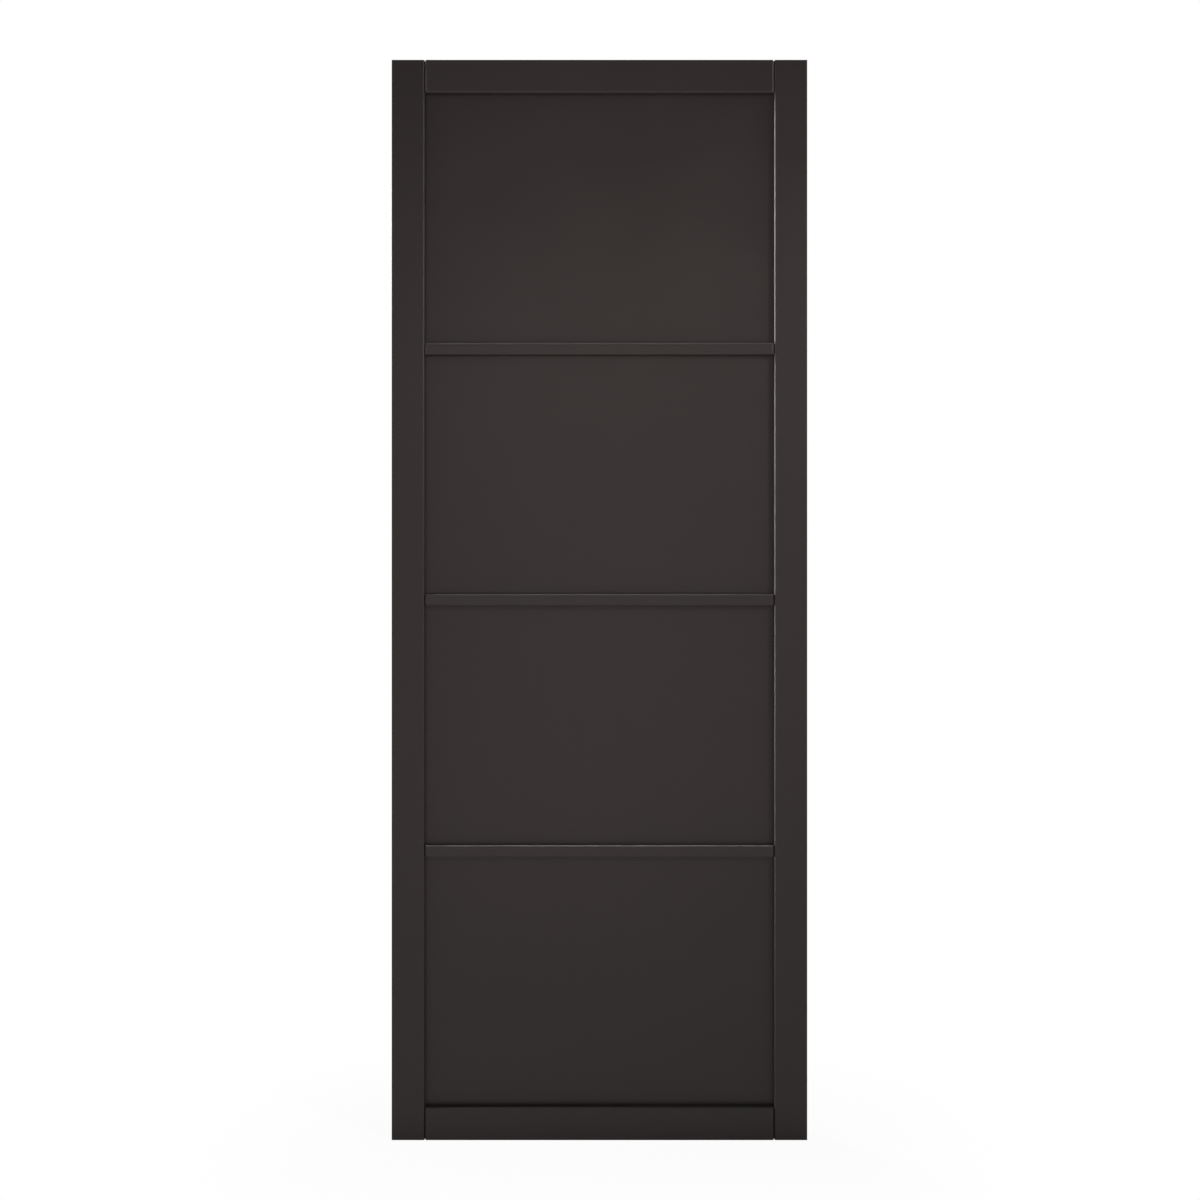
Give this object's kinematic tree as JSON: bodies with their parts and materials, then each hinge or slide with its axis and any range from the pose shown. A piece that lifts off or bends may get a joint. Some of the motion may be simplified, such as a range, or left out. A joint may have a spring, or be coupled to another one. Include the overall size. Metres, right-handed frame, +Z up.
{
  "type": "interior door leaf",
  "caption": "Flush-jointed stile-and-rail door leaf with flat recessed panels between slim cross bars, painted charcoal, ready to hang.",
  "frame": {"origin": "middle of the leaf's bottom edge, at half its thickness", "axes": "+X across the leaf to the right as the front is seen, +Y through the thickness away from the front face, +Z up"},
  "size_m": [0.762, 0.035, 1.981],
  "materials": {
    "frame_paint": "smooth satin charcoal paint on engineered timber",
    "panel_paint": "smooth satin charcoal paint on fibreboard",
    "dowel_beech": "bare turned beech"
  },
  "bodies": {
    "root": {"left_stile": "frame_paint", "right_stile": "frame_paint", "top_rail": "frame_paint", "bottom_rail": "frame_paint", "upper_bar": "frame_paint", "middle_bar": "frame_paint", "lower_bar": "frame_paint", "top_panel": "panel_paint", "upper_panel": "panel_paint", "lower_panel": "panel_paint", "bottom_panel": "panel_paint", "rail_dowels": "dowel_beech", "bar_dowels": "dowel_beech"}
  },
  "joints": []
}
